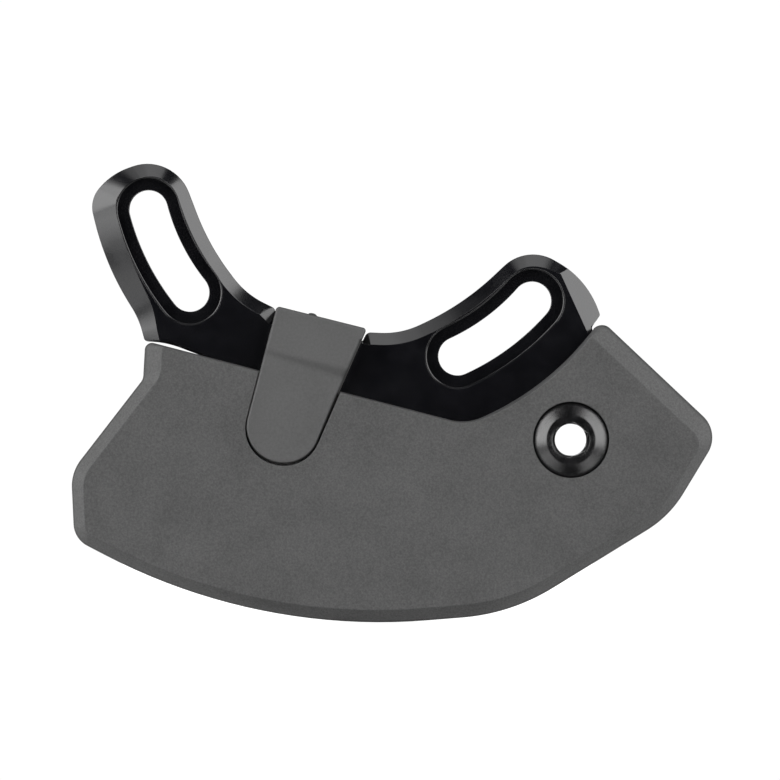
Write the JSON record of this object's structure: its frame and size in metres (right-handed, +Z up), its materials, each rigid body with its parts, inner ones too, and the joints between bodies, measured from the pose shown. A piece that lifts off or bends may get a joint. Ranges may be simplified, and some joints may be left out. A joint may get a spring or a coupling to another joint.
{
  "type": "chainring guard",
  "caption": "Bicycle chainring bash guard: bevelled moulded skid plate bolted and clipped to a slotted plate for a lower chain guide mount.",
  "frame": {"origin": "on the crank axis, in the plane of the plate's back face", "axes": "+X to the right and +Z up as the guard is seen from outside on the bicycle, +Y inwards, out of the plate's back face"},
  "size_m": [0.1046, 0.0088, 0.075],
  "materials": {
    "anodised_plate": "machined, bead blasted and black anodised, satin",
    "guard_nylon": "moulded glass-filled nylon, fine matt grain",
    "clip_nylon": "moulded nylon, smooth and matt",
    "anodised_bolt": "turned and black anodised, fine concentric marks"
  },
  "bodies": {
    "root": {"mount_plate": "anodised_plate", "guard_plate": "guard_nylon", "retaining_clip": "clip_nylon", "guard_bolt": "anodised_bolt", "sleeve_nut": "anodised_bolt"}
  },
  "joints": []
}
